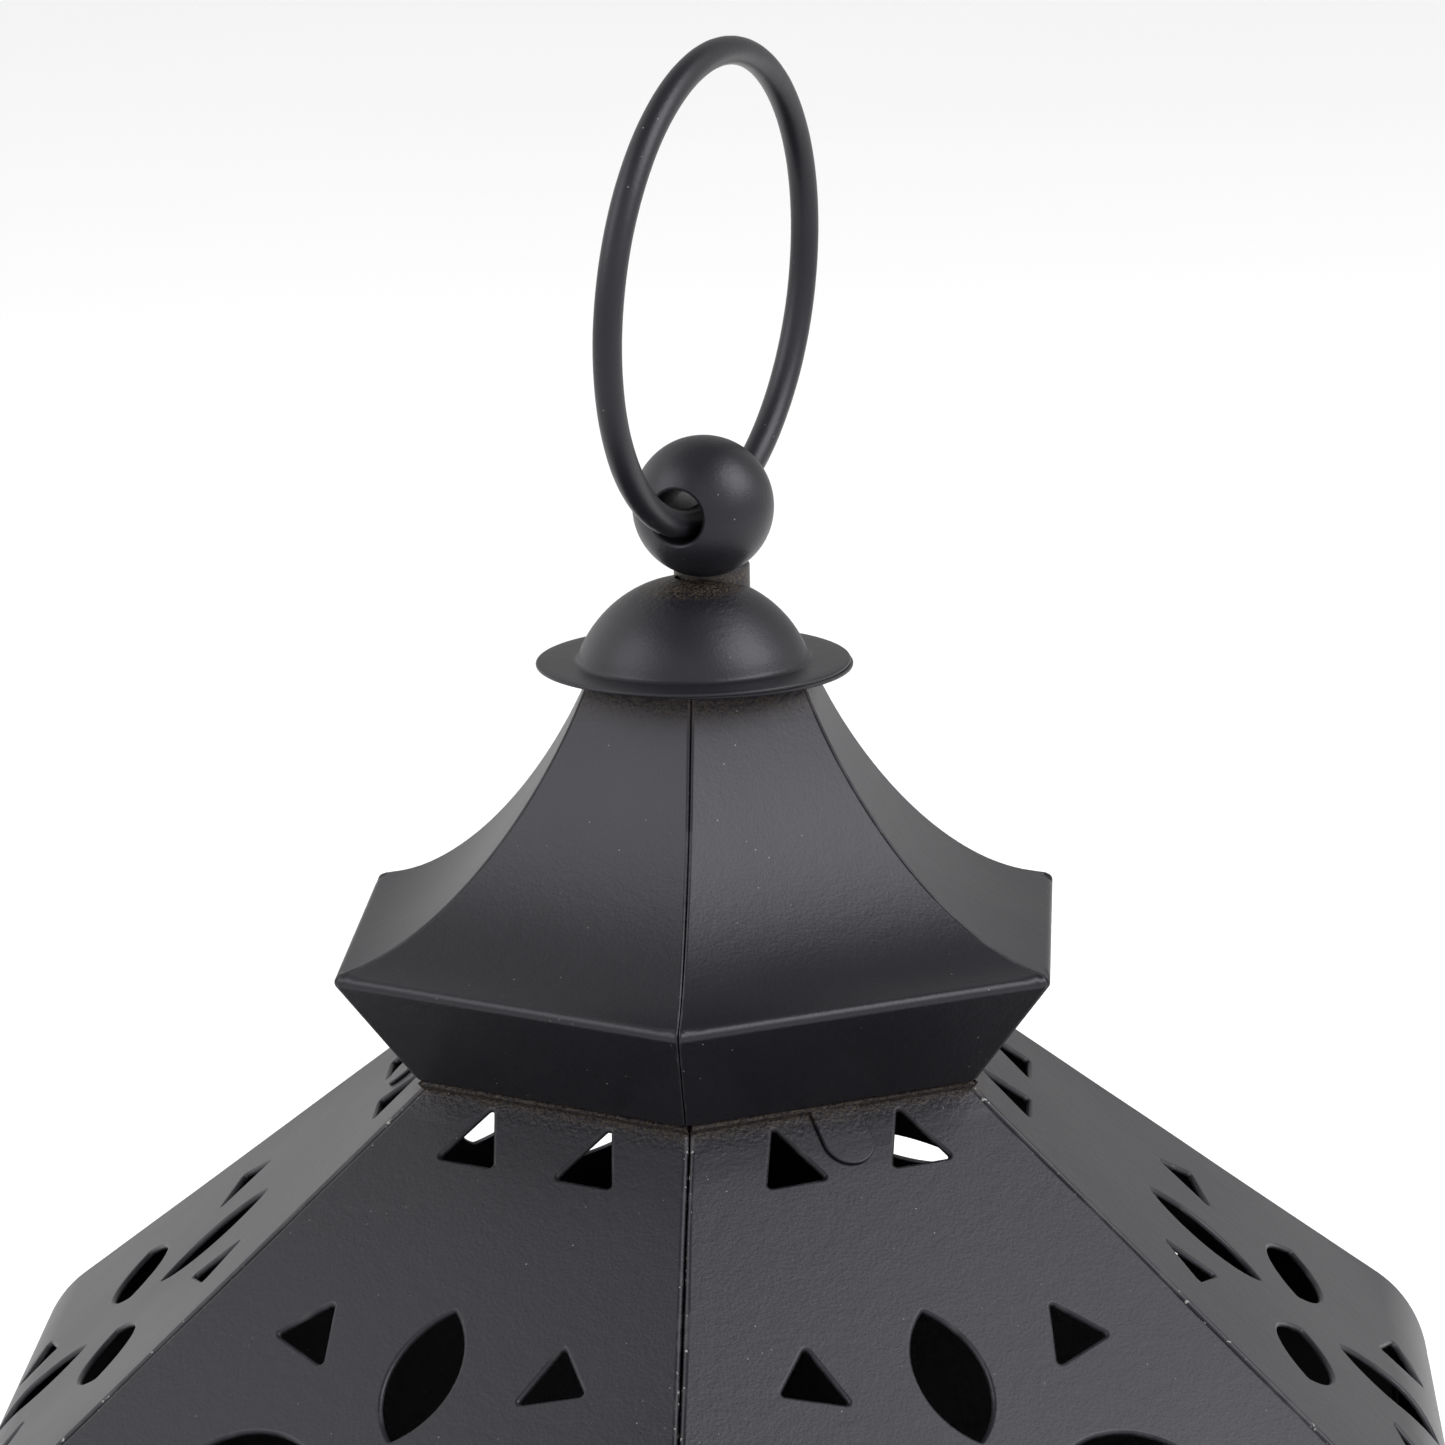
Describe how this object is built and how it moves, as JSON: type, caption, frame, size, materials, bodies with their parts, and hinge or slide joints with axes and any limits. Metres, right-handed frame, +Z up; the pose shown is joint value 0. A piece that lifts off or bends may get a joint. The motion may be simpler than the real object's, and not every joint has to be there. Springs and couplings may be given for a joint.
{
  "type": "candle lantern",
  "caption": "Hexagonal sheet-metal candle lantern with punched sides, a hollow-curved cap, a hinged door and a hanging ring.",
  "frame": {"origin": "middle of the base, at the surface that the lantern stands on", "axes": "+Z up; the door faces -Y; +X is to the right as seen from in front of the door"},
  "size_m": [0.2748, 0.238, 0.3581],
  "materials": {
    "black_paint": "satin black powder coat with a fine grain",
    "plain_steel": "dull bare steel",
    "candle_wax": "ivory wax, soft sheen",
    "cotton_wick": "braided cotton, unlit"
  },
  "bodies": {
    "lantern": {"body_panel_1": "black_paint", "body_panel_2": "black_paint", "body_panel_3": "black_paint", "body_panel_4": "black_paint", "body_panel_5": "black_paint", "body_panel_6": "black_paint", "candle_dish": "black_paint", "candle_spike": "black_paint", "cap_panel_1": "black_paint", "cap_panel_2": "black_paint", "cap_panel_3": "black_paint", "cap_panel_4": "black_paint", "cap_panel_5": "black_paint", "cap_panel_6": "black_paint", "closing_disc": "black_paint", "collar_with_tabs": "black_paint", "dome_cap": "black_paint", "finial_ball": "black_paint", "finial_nut": "plain_steel", "finial_stud": "plain_steel", "floor_rivets": "black_paint", "floor_sheet": "black_paint", "hinge_lower_wall_leaf": "black_paint", "hinge_pins": "black_paint", "hinge_rivets_wall": "black_paint", "hinge_upper_wall_leaf": "black_paint", "neck_collar": "black_paint", "plinth": "black_paint", "turn_button_rivet": "black_paint", "wall_foot_rivets": "black_paint"},
    "door": {"door_leaf": "black_paint", "hinge_lower_door_leaf": "black_paint", "hinge_upper_door_leaf": "black_paint", "hinge_rivets_door": "black_paint", "door_knob": "black_paint"},
    "ring": {"hanging_ring": "black_paint"},
    "turn_button": {"turn_button": "black_paint"},
    "candle": {"pillar_candle": "candle_wax", "candle_wick": "cotton_wick"}
  },
  "joints": [
    {"name": "ring_swing", "type": "hinge", "parent": "lantern", "child": "ring", "pos_m": [0.0009, -0.00045, 0.2918], "axis": [-0.7848, -0.6198, 0], "range_deg": [-134, 141]},
    {"name": "door_hinge", "type": "hinge", "parent": "lantern", "child": "door", "pos_m": [0.0485, -0.111, 0.073], "axis": [0, 0, 1], "range_deg": [0, 120]},
    {"name": "button_turn", "type": "hinge", "parent": "lantern", "child": "turn_button", "pos_m": [-0.053, -0.1107, 0.073], "axis": [0, -1, 0], "continuous": true},
    {"name": "candle_lift", "type": "slide", "parent": "lantern", "child": "candle", "axis": [0, 0, 1], "range_m": [0, 0.06]}
  ]
}
